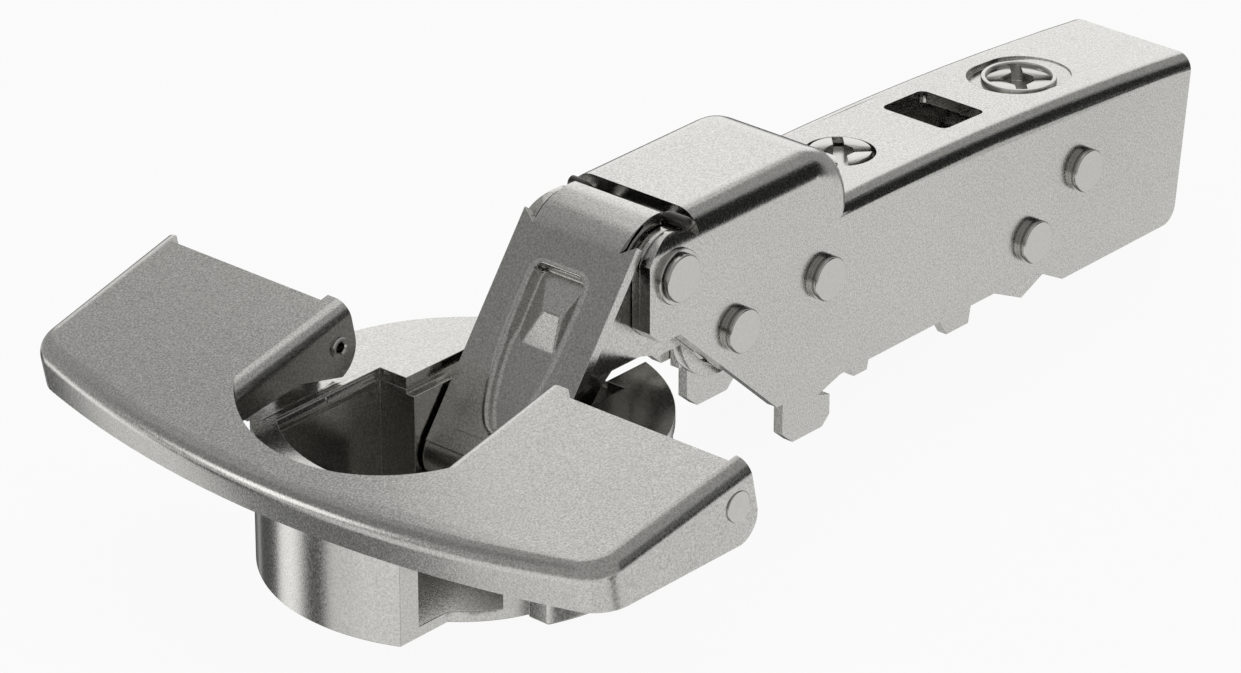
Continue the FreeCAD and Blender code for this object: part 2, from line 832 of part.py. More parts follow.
cut("release_lever", lever_solid, lever_hollow, lever_hole)


def bent_wire(label, corners, bend, radius):
    """Round wire along straight runs joined by tangent arcs."""
    edges = []
    start = corners[0]
    for index in range(1, len(corners) - 1):
        corner = corners[index]
        back = (corners[index - 1] - corner).normalize()
        ahead = (corners[index + 1] - corner).normalize()
        turn = math.pi - back.getAngle(ahead)
        reach = bend * math.tan(turn / 2)
        bisector = (back + ahead).normalize()
        centre = corner + bisector * (bend / math.cos(turn / 2))
        edges.append(Part.LineSegment(start, corner + back * reach).toShape())
        arc = Part.Arc(corner + back * reach, centre - bisector * bend, corner + ahead * reach)
        edges.append(arc.toShape())
        start = corner + ahead * reach
    edges.append(Part.LineSegment(start, corners[-1]).toShape())
    path = Part.Wire(edges)
    section = Part.Wire([Part.Circle(corners[0], corners[1] - corners[0], radius).toShape()])
    piece = doc.addObject("Part::Feature", label.title().replace("_", ""))
    piece.Label = label
    wire_shape = path.makePipeShell([section], True, False)
    ends = [Part.makeSphere(radius, corner) for corner in (corners[0], corners[-1])]
    piece.Shape = wire_shape.fuse(ends).removeSplitter()
    return piece


# Closing spring: one wire. Its ends rest on the nose, and its legs run back and round their rivet.
wire = size.spring_wire.value
bar_x = size.spring_bar_x.value
bar_reach = size.nose_radius.value + wire + size.seat_gap.value
bar_z = math.sqrt(bar_reach ** 2 - bar_x ** 2)
hook = size.spring_hook.value
pin_x = size.spring_pin_x.value
pin_z = size.spring_pin_z.value
leg_y = size.spring_leg_y.value
half_wire = [
    Vector(bar_x, size.spring_bar_half.value, bar_z),
    Vector(bar_x, leg_y, bar_z),
    Vector(bar_x + size.spring_dip.value, leg_y, size.spring_knee.value),
    Vector(pin_x - hook, leg_y, pin_z + hook),
    Vector(pin_x + hook, leg_y, pin_z + hook),
    Vector(pin_x + hook, leg_y, pin_z - size.spring_pin_drop.value),
]
mirrored = [Vector(corner.x, -corner.y, corner.z) for corner in reversed(half_wire)]
bent_wire("closing_spring", half_wire + mirrored, size.spring_bend.value, wire)

# Spring of the release lever: a small coil between the arm's top and the lever's tab.
coil_low = tab_top.value + size.lever_wire.value + size.seat_gap.value
coil_rear = size.lever_spring_x + size.lever_spring_radius + size.lever_wire
coil_high = (top_at(coil_rear) - size.arm_sheet).value - size.lever_wire.value - size.seat_gap.value
coil_pitch = (coil_high - coil_low) / size.lever_turns.value
coil = Part.makeHelix(coil_pitch, coil_high - coil_low, size.lever_spring_radius.value)
coil_start = Vector(size.lever_spring_radius.value, 0, 0)
coil_wire = Part.Wire([Part.Circle(coil_start, Vector(0, 1, 0), size.lever_wire.value).toShape()])
lever_spring = doc.addObject("Part::Feature", "LeverSpring")
lever_spring.Label = "lever_spring"
lever_spring.Shape = Part.Wire(coil.Edges).makePipeShell([coil_wire], True, True)
lever_spring.Placement = FreeCAD.Placement(Vector(size.lever_spring_x.value, 0, coil_low), FreeCAD.Rotation())

# Outer link: a flat plate that is tangent to its eye below and curls round the front rivet above.
cup_out_x = size.cup_pin_outer_x
cup_out_z = size.cup_pin_outer_z
link_length = root(cup_out_x * cup_out_x + cup_out_z * cup_out_z)
link_lean = math.degrees(math.asin(((size.outer_offset - size.outer_lead) / link_length).value))
lean = Size(link_lean, "(asin((" + size.outer_offset.formula + " - " + size.outer_lead.formula + ") / "
            + link_length.formula + ") / 1 deg)")
plate_angle = angle_of(cup_out_x, cup_out_z) + lean
down_x = cosine(plate_angle)
down_z = sine(plate_angle)
front_x = down_z
front_z = -down_x


def on_plate(along, depth):
    """A point of the outer link: how far down from the rivet's foot, and how far in front of it."""
    return (down_x * along + front_x * depth, down_z * along + front_z * depth)


eye_along = cup_out_x * down_x + cup_out_z * down_z
face = size.outer_offset
back = size.outer_offset - size.outer_sheet
outer_plate = slab("outer_plate", [
    on_plate(size.outer_top, face),
    on_plate(size.outer_top, back),
    on_plate(eye_along, back),
    on_plate(eye_along, face),
], size.outer_half)
outer_eye = rod("outer_eye", cup_out_x, cup_out_z, size.outer_eye, size.outer_half)
curl_inner = size.curl_radius - size.outer_sheet
curl = slab("outer_curl", [
    on_plate(size.outer_top + 0.8, face),
    on_plate(size.outer_top, face),
    (cosine(size.curl_start - 8) * size.curl_radius, sine(size.curl_start - 8) * size.curl_radius,
     -size.curl_radius),
    (cosine(size.curl_end) * size.curl_radius, sine(size.curl_end) * size.curl_radius),
    (cosine(size.curl_end) * curl_inner, sine(size.curl_end) * curl_inner, curl_inner),
    (cosine(size.curl_start) * curl_inner, sine(size.curl_start) * curl_inner),
    on_plate(size.outer_top + 0.8, back),
], size.curl_half)


def ear_side(radius):
    """Round about the rivet, with a web out to the plate."""
    return [
        on_plate(radius, 0),
        on_plate(radius, back + size.outer_sheet / 2),
        on_plate(size.outer_top, back + size.outer_sheet / 2),
        on_plate(size.outer_top, root(radius * radius - size.outer_top * size.outer_top)) + (-radius,),
        on_plate(-radius, 0) + (-radius,),
        on_plate(0, -radius) + (-radius,),
    ]


ears = cut("outer_ears", slab("ear_solid", ear_side(size.ear_radius), size.ear_outer),
           slab("ear_gap", ear_side(size.ear_radius + size.outer_sheet), size.ear_inner))
well = slab("outer_well", [
    on_plate(size.well_top, face + 1.0),
    on_plate(size.well_top, face - size.well_depth),
    on_plate(size.well_bottom, face - size.well_depth),
    on_plate(size.well_bottom, face + 1.0),
], size.well_half)
cut("outer_link", join("outer_whole", outer_plate, outer_eye, curl, ears),
    rod("outer_top_hole", 0, 0, size.front_pin_radius + size.running_fit, far),
    rod("outer_eye_hole", cup_out_x, cup_out_z, size.outer_cup_pin_radius + size.running_fit, far), well)

# Inner link: two cheeks and a web, from the cup to the rear eye, which clears its rivet.
cup_in_x = size.cup_pin_inner_x
cup_in_z = size.cup_pin_inner_z
near_back = back - size.inner_front_gap
inner_side = [
    on_plate(eye_along - 6.5, near_back),
    on_plate(0.6, near_back),
    (cosine(155) * size.inner_neck, sine(155) * size.inner_neck, size.inner_neck),
    (cosine(-60) * size.inner_neck, sine(-60) * size.inner_neck),
    (size.link_pin_x + cosine(115) * size.inner_rear_eye, size.link_pin_z + sine(115) * size.inner_rear_eye),
    (size.link_pin_x - 3.0, -size.inner_under),
    (-size.inner_step_x + 2.6, -size.inner_under),
    (-size.inner_step_x, -size.inner_step_z),
    (-size.inner_web_front, -size.inner_step_z),
    (-size.inner_heel, -size.inner_heel_z),
    (cup_in_x + cosine(-40) * size.inner_front_eye, cup_in_z + sine(-40) * size.inner_front_eye),
]
inner_cheeks = slab("inner_cheeks", inner_side, size.inner_half)
inner_front = rod("inner_front", cup_in_x, cup_in_z, size.inner_front_eye, size.inner_half)
inner_rear = rod("inner_rear", size.link_pin_x, size.link_pin_z, size.inner_rear_eye, size.inner_half)
inner_hollow = slab("inner_hollow", [
    (-far, far),
    (far, far),
    (far, -far),
    (size.link_pin_x - 5.2, -far),
    (size.link_pin_x - 5.2, size.inner_sheet - size.inner_step_z),
    (-size.inner_web_front, size.inner_sheet - size.inner_step_z),
    (-size.inner_web_front, -far),
    (-far, -far),
], size.inner_half - size.inner_sheet)
cut("inner_link", join("inner_whole", inner_cheeks, inner_front, inner_rear), inner_hollow,
    rod("inner_front_hole", cup_in_x, cup_in_z, size.inner_cup_pin_radius + size.running_fit, far),
    rod("inner_rear_hole", size.link_pin_x, size.link_pin_z, size.inner_rear_hole, far))

# Cup: a round shell with a narrower pan below, cheeks for the two pins and windows for the jaws.
plane = -size.door_plane
seat = plane + size.seat_relief
floor = size.cup_wall - size.cup_bottom


def drum(label, low, high, radius):
    return post(label, size.cup_x, 0, low, high, radius)


def mouth(label, low, half):
    """The wide front of the mouth and the channel for the links behind it."""
    wide = shared(label + "_wide", drum(label + "_round", low, far, size.mouth_front),
                  block(label + "_strip", (-far, -size.mouth_half, -far), (-size.mouth_step, size.mouth_half, far)))
    narrow = block(label + "_narrow", (-size.mouth_step - 1.0, -half, low), (-size.mouth_rear, half, far))
    return [wide, narrow]


# The right side is cut back to the round core, from a flat wall to the end of the jaw.
side_block = block("side_block", (-far, -far, -far), (size.cup_x + size.jaw_half + size.jaw_gap, -size.side_flat, seat))
side_cut = cut("side_cut", side_block, drum("cup_core", -far, 0, size.core_radius))
jaw_inner = size.core_radius + size.jaw_travel + size.jaw_gap
jaw_window = block("jaw_window", (size.cup_x - size.jaw_half - size.jaw_gap, size.core_radius,
                                  -size.jaw_bottom - size.jaw_gap),
                   (size.cup_x + size.jaw_half + size.jaw_gap, far, seat))
channel = shared("cup_channel", drum("channel_round", floor, 0, size.cup_radius - size.cup_wall),
                 block("channel_strip", (-far, -size.pocket_half, -far), (far, size.pocket_half, 0)))
rear_notch = block("rear_notch", (-size.mouth_rear - 1.0, -size.notch_half, -size.notch_floor),
                   (far, size.notch_half, 0))
cup_pins = [
    rod("outer_cup_hole", cup_out_x, cup_out_z, size.outer_cup_pin_radius + size.press_fit,
        size.cup_pin_half + size.side_play),
    rod("inner_cup_hole", cup_in_x, cup_in_z, size.inner_cup_pin_radius + size.press_fit,
        size.cup_pin_half + size.side_play),
]
cut("cup_shell", drum("cup_body", -size.cup_bottom, seat, size.cup_radius), side_cut, jaw_window, channel,
    mouth("pocket", floor, size.pocket_half)[0], mouth("nose_room", seat - size.pocket_step, size.mouth_rear_half)[1],
    rear_notch, *cup_pins)
rod("outer_cup_pin", cup_out_x, cup_out_z, size.outer_cup_pin_radius, size.cup_pin_half)
rod("inner_cup_pin", cup_in_x, cup_in_z, size.inner_cup_pin_radius, size.cup_pin_half)

# Side jaws: segments that slide in and out under the disc and reach a little past the cup's wall.
for side, label in ((1, "clamp_jaw_left"), (-1, "clamp_jaw_right")):
    low = (size.cup_x - size.jaw_half, jaw_inner if side > 0 else -far, -size.jaw_bottom)
    high = (size.cup_x + size.jaw_half, far if side > 0 else -jaw_inner, -size.jaw_top)
    shared(label, block(label + "_block", low, high),
           drum(label + "_drum", -size.cup_bottom, 0, size.cup_radius + size.jaw_bite))

# Flange: the disc round the mouth, with a wing and two lugs for each flap rivet.
lip = drum("flange_disc", seat, plane + size.flange_lip_thick, size.flange_lip_radius)
flange_relief = drum("flange_relief", -far, seat, size.flange_lip_radius + size.relief_margin)
flange_notch = block("flange_notch", (-size.mouth_rear - 1.0, -size.notch_half, -far), (far, size.notch_half, far))
flange_pieces = [lip]
wing_outer = size.flap_front_half - size.flap_sheet - size.wing_gap
for side, name in ((1, "left"), (-1, "right")):
    wing_low = size.lug_inner - 2.0 if side > 0 else -wing_outer
    wing_high = wing_outer if side > 0 else 2.0 - size.lug_inner
    flange_pieces.append(block("wing_" + name, (-size.wing_front, wing_low, plane),
                               (-size.wing_rear, wing_high, plane + size.flange_lip_thick)))
    for spot, start in (("near", size.lug_inner), ("outer", size.lug_outer)):
        low_y = start if side > 0 else -start - size.lug_thick
        high_y = start + size.lug_thick if side > 0 else -start
        label = "lug_" + name + "_" + spot
        eye = doc.addObject("Part::Cylinder", (label + "_eye").title().replace("_", ""))
        eye.Label = label + "_eye"
        eye.Placement = FreeCAD.Placement(Vector(0, 0, 0), along_y)
        bind(eye, "Radius", size.lug_radius)
        bind(eye, "Height", size.lug_thick)
        for axis, value in (("x", size.flap_pin_x), ("y", high_y), ("z", size.flap_pin_z)):
            bind(eye, "Placement.Base." + axis, value)
        stem = block(label + "_stem", (size.flap_pin_x - size.lug_radius, low_y, plane),
                     (size.flap_pin_x + size.lug_radius, high_y, size.flap_pin_z))
        flange_pieces += [eye, stem]
flap_pin_cut = rod("flap_pin_cut", size.flap_pin_x, size.flap_pin_z, size.flap_pin_radius + size.running_fit, far)
cut("cup_flange", join("flange_whole", *flange_pieces), flange_relief, *mouth("mouth", -far, size.mouth_rear_half),
    flange_notch, flap_pin_cut)

# Flap: a folded crescent, tilted down to the front, with a rim and four ears.
tilt = FreeCAD.Rotation(Vector(0, 1, 0), -size.flap_tilt.value)
flap = new_body("flap_tray")
arc_centre = size.flap_arc - size.flap_front


def tray_outline(name, height, inset, rear):
    """The flap's plan: sides that close in a little to the front, and a wide arc."""
    sketch = sketch_on(flap, name, "XY_Plane", height)
    radius = size.flap_arc - inset
    front_half = size.flap_front_half - inset
    front_end = arc_centre - root(radius * radius - front_half * front_half)
    outline(sketch, [
        (rear, inset - size.flap_half),
        (rear, size.flap_half - inset),
        (front_end, front_half, radius),
        (front_end, -front_half),
    ])
    return sketch, (front_end.value, front_half.value)


def upright(spot):
    """Test for edges square to the flap's plate at the given place, on both sides."""
    def chosen(edge):
        first = edge.Vertexes[0].Point
        last = edge.Vertexes[-1].Point
        if math.hypot(first.x - last.x, first.y - last.y) > 0.001:
            return False
        return math.hypot(first.x - spot[0], abs(first.y) - spot[1]) < 0.01

    return chosen


def on_top(edge):
    """Test for the plate's top edges on its sides and its front."""
    spot = middle(edge)
    return abs(spot.z) < 0.001 and spot.x < size.ear_rear.value - 0.01


tray_sketch, tray_corner = tray_outline("FlapOutline", 0, as_size(0), size.ear_rear)
extrude(flap, "Pad", tray_sketch, size.ear_drop, centred=False, flipped=True)
round_edges(flap, "FlapCorners", size.flap_corner, upright(tray_corner))
round_edges(flap, "FlapFold", size.flap_fold, on_top)
hollow_sketch, hollow_corner = tray_outline("HollowOutline", -size.ear_drop, size.flap_sheet, as_size(5.0))
extrude(flap, "Pocket", hollow_sketch, size.ear_drop - size.flap_sheet, centred=False, flipped=True)
round_edges(flap, "HollowCorners", size.flap_corner - size.flap_sheet, upright(hollow_corner))

# The lower edge runs straight from the rim's depth at the front to the ears, which are round behind.
low_slope = (size.ear_drop - size.flap_rim_depth) / (size.flap_front - size.ear_low_x)
low_sketch = sketch_on(flap, "LowerEdge", "XZ_Plane")
outline(low_sketch, [
    (-size.flap_front - 10.0, -size.flap_rim_depth + low_slope * 10.0),
    (-size.ear_low_x, -size.ear_drop, size.ear_round + 0.1),
    (size.ear_rear, -size.ear_drop + size.ear_round),
    (10.0, -size.ear_drop + size.ear_round),
    (10.0, -20.0),
    (-size.flap_front - 10.0, -20.0),
])
extrude(flap, "Pocket", low_sketch, as_size(far) * 2)
fold_end = size.inner_ear_face + size.ear_fold
tab_inner = fold_end + size.tab_width
tab_outer = size.flap_half - size.flap_fold
rear_sketch = sketch_on(flap, "RearEdge", "XY_Plane")
for side in (1, -1):
    outline(rear_sketch, [(0, tab_inner * side), (10.0, tab_inner * side), (10.0, tab_outer * side), (0, tab_outer * side)])
extrude(flap, "Pocket", rear_sketch, size.flap_sheet * 2)


def open_plan(name, half):
    """The round cut-out for the cup's mouth, open behind."""
    sketch = sketch_on(flap, name, "XY_Plane")
    bow = root(size.flap_cut_radius * size.flap_cut_radius - half * half)
    outline(sketch, [
        (10.0, -half),
        (10.0, half),
        (-size.flap_cut_centre - bow, half, size.flap_cut_radius),
        (-size.flap_cut_centre - bow, -half),
    ])
    extrude(flap, "Pocket", sketch, size.ear_drop * 4)


open_plan("PlateOpening", fold_end)
fold_sketch = sketch_on(flap, "EarFold", "YZ_Plane", -size.inner_ear_front - 0.6)
inner_bend = size.ear_fold - size.flap_sheet
outline(fold_sketch, [
    (size.inner_ear_face, -size.ear_fold, -size.ear_fold),
    (fold_end, 0),
    (fold_end + 0.5, 0),
    (fold_end + 0.5, -size.flap_sheet),
    (fold_end, -size.flap_sheet, inner_bend),
    (fold_end - inner_bend, -size.ear_fold),
])
ear_fold = extrude(flap, "Pad", fold_sketch, size.inner_ear_front + 0.6 + size.ear_rear, centred=False)
ear_sketch = sketch_on(flap, "InnerEar", "XZ_Plane", -size.inner_ear_face - size.flap_sheet)
outline(ear_sketch, [
    (-size.inner_ear_front - 0.6, -size.inner_ear_depth),
    (-size.inner_ear_front - 0.6, -size.ear_fold),
    (size.ear_rear, -size.ear_fold),
    (size.ear_rear, -size.inner_ear_depth, -(size.inner_ear_drop - size.inner_ear_depth)),
    (-size.inner_ear_low_x, -size.inner_ear_drop),
    (-size.inner_ear_neck_x, -size.inner_ear_neck),
])
inner_ear = extrude(flap, "Pad", ear_sketch, size.flap_sheet, centred=False)
mirror = flap.newObject("PartDesign::Mirrored", "RightEars")
mirror.Originals = [ear_fold, inner_ear]
mirror.MirrorPlane = ([item for item in flap.Origin.OriginFeatures if item.Role == "XZ_Plane"][0], [""])
flap.Tip = mirror
doc.recompute()
open_plan("EarOpening", size.inner_ear_face)
place(flap, size.flap_rear_x, 0, size.flap_rear_z, tilt)


def flap_bore(label, radius, inner, outer, side):
    """A bar on the flap's axis, on one side of the cup."""
    bar = doc.addObject("Part::Cylinder", label.title().replace("_", ""))
    bar.Label = label
    bar.Placement = FreeCAD.Placement(Vector(0, 0, 0), along_y)
    bind(bar, "Radius", radius)
    bind(bar, "Height", as_size(outer) - inner)
    for axis, value in (("x", size.flap_pin_x), ("y", outer if side > 0 else -as_size(inner)), ("z", size.flap_pin_z)):
        bind(bar, "Placement.Base." + axis, value)
    return bar


head_seat = size.flap_half - size.flap_head_height
bores = [rod("flap_bore", size.flap_pin_x, size.flap_pin_z, size.flap_pin_radius + size.press_fit, far)]
for side, name in ((1, "left"), (-1, "right")):
    shank = flap_bore("flap_shank_" + name, size.flap_pin_radius, size.inner_ear_face, head_seat, side)
    head = flap_bore("flap_head_" + name, size.flap_head_radius, head_seat, size.flap_half, side)
    join("flap_pin_" + name, shank, head)
    bores.append(flap_bore("flap_seat_" + name, size.flap_head_radius + size.press_fit,
                           head_seat - size.press_fit, size.flap_half + 1.0, side))
cut("flap_plate", flap, *bores)

# Check every object, then write each piece to its own file.
doc.recompute()
for item in doc.Objects:
    if "Invalid" in item.State or "Error" in item.State:
        raise RuntimeError(item.Label + " failed: " + item.getStatusString())

pieces = [
    "arm_housing", "arm_liner", "front_pin", "inner_link_pin", "spring_pin", "carrier_pin", "lever_pin",
    "closing_spring", "overlay_screw", "depth_cam", "cam_ring", "carrier", "release_lever", "lever_spring",
    "outer_link", "inner_link", "cup_shell", "cup_flange", "outer_cup_pin", "inner_cup_pin",
    "clamp_jaw_left", "clamp_jaw_right", "flap_plate", "flap_pin_left", "flap_pin_right",
]
os.makedirs("parts", exist_ok=True)
cup_on_door = Vector(size.cup_x.value, 0, plane.value)
for label in pieces:
    shape = doc.getObjectsByLabel(label)[0].Shape.translated(-cup_on_door)
    if shape.isNull() or not shape.isValid():
        raise RuntimeError(label + " has no valid shape")
    shape.exportStep("parts/" + label + ".step")
    print(label, len(shape.Solids), round(shape.Volume, 1))
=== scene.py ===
import math

import bmesh
import bpy
from mathutils import Matrix, Vector


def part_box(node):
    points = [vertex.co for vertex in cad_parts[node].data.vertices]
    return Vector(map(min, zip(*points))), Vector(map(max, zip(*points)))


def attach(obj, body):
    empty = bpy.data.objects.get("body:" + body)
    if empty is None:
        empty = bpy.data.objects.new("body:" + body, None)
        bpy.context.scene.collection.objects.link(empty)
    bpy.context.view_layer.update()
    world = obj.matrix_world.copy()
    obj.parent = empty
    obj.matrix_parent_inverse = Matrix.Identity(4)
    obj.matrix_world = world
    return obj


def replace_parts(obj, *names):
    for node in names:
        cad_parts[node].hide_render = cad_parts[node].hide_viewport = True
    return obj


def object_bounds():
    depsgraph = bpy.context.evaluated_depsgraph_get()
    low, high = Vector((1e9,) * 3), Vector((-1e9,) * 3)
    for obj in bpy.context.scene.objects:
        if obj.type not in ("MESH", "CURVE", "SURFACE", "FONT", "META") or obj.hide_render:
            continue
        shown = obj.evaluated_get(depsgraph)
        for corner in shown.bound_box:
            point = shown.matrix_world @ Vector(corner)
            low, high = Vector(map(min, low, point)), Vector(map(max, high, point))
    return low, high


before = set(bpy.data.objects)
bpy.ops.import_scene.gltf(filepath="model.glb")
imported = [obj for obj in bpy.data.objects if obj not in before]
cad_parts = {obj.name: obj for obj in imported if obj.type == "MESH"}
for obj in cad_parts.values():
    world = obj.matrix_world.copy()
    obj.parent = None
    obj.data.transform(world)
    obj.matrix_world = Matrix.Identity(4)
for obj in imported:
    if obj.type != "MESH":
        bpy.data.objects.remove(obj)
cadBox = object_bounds()
print("frame loaded with", len(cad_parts), "nodes")

mm = 0.001


# Colours are written as sRGB hex and turned to linear here
def colour(hexText):
    linear = []
    for start in (0, 2, 4):
        value = int(hexText[start:start + 2], 16) / 255
        linear.append(value / 12.92 if value <= 0.04045 else ((value + 0.055) / 1.055) ** 2.4)
    return (*linear, 1.0)


white = colour("ffffff")


# One helper for every node: its type, its settings and what feeds its inputs
def addNode(tree, kind, settings=None, **inputs):
    node = tree.nodes.new(kind)
    for name, value in (settings or {}).items():
        setattr(node, name, value)
    for name, value in inputs.items():
        key = int(name[2:]) if name.startswith("in") and name[2:].isdigit() else name.replace("_", " ")
        if isinstance(value, bpy.types.NodeSocket):
            tree.links.new(value, node.inputs[key])
        else:
            node.inputs[key].default_value = value
    return node


def newMaterial(name):
    material = bpy.data.materials.new(name)
    material.use_nodes = True
    material.node_tree.nodes.clear()
    return material, material.node_tree


# Plated metal: a tight blasted grain in the tone, the gloss and the relief, and a faint cloud in the tone.
# Grain, its depth and cloud are in mm. Gloss spreads about the roughness from clearer to duller.
plating = {
    "grainDetail": 3.0, "grainRough": 0.65, "cloud": 16.0, "cloudDetail": 2.0, "cloudRough": 0.5,
    "tintFrom": 0.36, "tintTo": 0.64, "cloudShare": 0.18,
    "glossFrom": 0.3, "glossTo": 0.7, "clearer": 0.04, "duller": 0.06,
}


def platedMetal(name, tone, shade, roughness, grain, grainDepth):
    material, tree = newMaterial(name)
    place = addNode(tree, "ShaderNodeTexCoord")
    fine = addNode(tree, "ShaderNodeTexNoise", Vector=place.outputs["Object"], Scale=1 / (grain * mm),
                   Detail=plating["grainDetail"], Roughness=plating["grainRough"])
    wide = addNode(tree, "ShaderNodeTexNoise", Vector=place.outputs["Object"],
                   Scale=1 / (plating["cloud"] * mm), Detail=plating["cloudDetail"],
                   Roughness=plating["cloudRough"])
    crisp = addNode(tree, "ShaderNodeMapRange", Value=fine.outputs["Fac"], in1=plating["tintFrom"],
                    in2=plating["tintTo"])
    both = addNode(tree, "ShaderNodeMix", {"data_type": "FLOAT"}, Factor=plating["cloudShare"],
                   in2=crisp.outputs[0], in3=wide.outputs["Fac"])
    tint = addNode(tree, "ShaderNodeMix", {"data_type": "RGBA"}, in0=both.outputs[0],
                   in6=colour(shade), in7=colour(tone))
    gloss = addNode(tree, "ShaderNodeMapRange", Value=fine.outputs["Fac"], in1=plating["glossFrom"],
                    in2=plating["glossTo"], in3=roughness - plating["clearer"],
                    in4=roughness + plating["duller"])
    relief = addNode(tree, "ShaderNodeBump", Strength=1.0, Distance=grainDepth * mm,
                     Height=fine.outputs["Fac"])
    skin = addNode(tree, "ShaderNodeBsdfPrincipled", Metallic=1.0, Base_Color=tint.outputs[2],
                   Roughness=gloss.outputs[0], Normal=relief.outputs[0])
    addNode(tree, "ShaderNodeOutputMaterial", Surface=skin.outputs[0])
    return material


# Sheet steel, nickel over a tumbled skin: pale warm grey with a tight grain
nickelSteel = platedMetal("nickel_plated_sheet_steel", "d9d8d4", "a6a5a1",
                          roughness=0.19, grain=0.17, grainDepth=0.006)
# Zinc die casting, nickel over a smooth cast skin: as pale, with clearer reflections
castNickel = platedMetal("nickel_plated_zinc_casting", "d4d3cf", "acaba7",
                         roughness=0.17, grain=0.18, grainDepth=0.004)
# Turned rivets: the face is even, without relief
rivetSteel = platedMetal("nickel_plated_rivet_steel", "cbcac6", "c1c0bc",
                         roughness=0.2, grain=0.4, grainDepth=0.0)
# Drawn spring wire: dark, with a softer gloss
wireSteel = platedMetal("drawn_spring_wire", "5b5955", "42403d",
                        roughness=0.34, grain=0.12, grainDepth=0.006)
print("materials ready")


# Copy of a CAD node's mesh with its loose triangles merged: distance in mm, angle in degrees
merging = {"distance": 0.002, "angle": 0.6}


def nodeMesh(name):
    form = bmesh.new()
    form.from_mesh(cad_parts[name].data)
    bmesh.ops.remove_doubles(form, verts=form.verts, dist=merging["distance"] * mm)
    bmesh.ops.dissolve_limit(form, angle_limit=math.radians(merging["angle"]), verts=form.verts,
                             edges=form.edges)
    return form


# A form becomes a piece of the scene that rides on a body. Sharp is the angle from which edges stay hard.
def finished(name, form, material, body, sharp=40.0):
    mesh = bpy.data.meshes.new(name)
    form.to_mesh(mesh)
    form.free()
    piece = bpy.data.objects.new(name, mesh)
    bpy.context.scene.collection.objects.link(piece)
    mesh.materials.append(material)
    mesh.shade_smooth()
    mesh.set_sharp_from_angle(angle=math.radians(sharp))
    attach(piece, body)
    return piece


# Middle of a node's box, and its top, in mm
def middleOf(name):
    low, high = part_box(name)
    return Vector([(first + last) / 2 / mm for first, last in zip(low, high)])


def topOf(name):
    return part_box(name)[1][2] / mm


# Moves a form drawn in mm about its own axis to its place
def setDown(form, centre, turn=None):
    place = Matrix.Scale(mm, 4) @ Matrix.Translation(Vector(centre)) @ (turn or Matrix.Identity(4))
    bmesh.ops.transform(form, matrix=place, verts=form.verts)


# Several forms as one
def gathered(*forms):
    whole = bmesh.new()
    for form in forms:
        passing = bpy.data.meshes.new("passing_form")
        form.to_mesh(passing)
        form.free()
        whole.from_mesh(passing)
        bpy.data.meshes.remove(passing)
    return whole


# Rounds chosen edges. The radius is in the form's own unit.
def rounded(form, edges, radius, segments=2):
    bmesh.ops.bevel(form, geom=edges, offset=radius, offset_type="OFFSET", segments=segments, profile=0.5,
                    affect="EDGES", clamp_overlap=True, material=-1)


# Prism over a flat outline
def prism(outline, push):
    form = bmesh.new()
    lid = form.faces.new([form.verts.new(spot) for spot in outline])
    wall = bmesh.ops.extrude_face_region(form, geom=[lid])
    pushed = [item for item in wall["geom"] if isinstance(item, bmesh.types.BMVert)]
    bmesh.ops.translate(form, vec=push, verts=pushed)
    bmesh.ops.recalc_face_normals(form, faces=form.faces)
    return form


# Turned form about Z from a line of radius and height
turning = {"steps": 72, "merge": 0.0005}


def turnedForm(profile, steps=turning["steps"]):
    form = bmesh.new()
    corners = [form.verts.new((radius, 0.0, height)) for radius, height in profile]
    for first, second in zip(corners, corners[1:]):
        form.edges.new((first, second))
    bmesh.ops.spin(form, geom=form.verts[:] + form.edges[:], cent=(0, 0, 0), axis=(0, 0, 1), dvec=(0, 0, 0),
                   angle=2 * math.pi, steps=steps, use_merge=True, use_duplicate=False)
    bmesh.ops.remove_doubles(form, verts=form.verts, dist=turning["merge"])
    bmesh.ops.recalc_face_normals(form, faces=form.faces)
    return form


alongY = Matrix.Rotation(math.radians(-90), 4, "X")

# Pressed well of the outer link, in mm: down from the rivet's foot and across, depths below the face.
# Taper and fullness shape its rounded lower end, and the ridge is the crest of the wedge that stands in it.
link = {
    "pivot": (18.8, 0.0, 8.9), "eye": (4.2, 0.0, -6.1), "offset": 5.5, "lead": 2.58,
    "low": (2.3, -3.9), "high": (19.0, 3.9), "step": 0.1, "thick": 0.1, "lift": 0.012, "border": -0.03,
    "top": 3.3, "straight": 6.0, "tip": 18.05, "half": 2.9, "corner": 1.0, "slope": 0.5,
    "taper": 2.6, "fullness": 0.52, "tipSlope": 1.6, "tipShare": 0.93,
    "lip": 0.16, "lipWide": 0.42, "lipOut": 0.08,
    "floor": 0.66, "deepFloor": 1.0, "floorFrom": 8.6, "floorTo": 10.6,
    "ridge": 6.97, "ridgeDepth": 0.12, "ridgeLeft": 0.2, "ridgeRight": -1.62, "ridgeInside": 0.25,
    "upperFrom": 3.8, "lowerTo": 10.4, "lowerUnder": 0.08, "leftFall": 0.42, "rightFall": 1.3,
}
linkPivot = Vector(link["pivot"])
linkLine = Vector(link["eye"]) - linkPivot
linkAngle = math.atan2(linkLine.z, linkLine.x) + math.asin((link["offset"] - link["lead"]) / linkLine.length)
linkDown = Vector((math.cos(linkAngle), 0, math.sin(linkAngle)))
linkFront = Vector((linkDown.z, 0, -linkDown.x))
linkAxes = Matrix((linkDown, (0, 1, 0), linkFront)).transposed().to_4x4()
linkPlace = Matrix.Scale(mm, 4) @ Matrix.Translation(linkPivot + linkFront * link["offset"]) @ linkAxes


def smoothStep(share):
    share = min(max(share, 0.0), 1.0)
    return share * share * (3 - 2 * share)


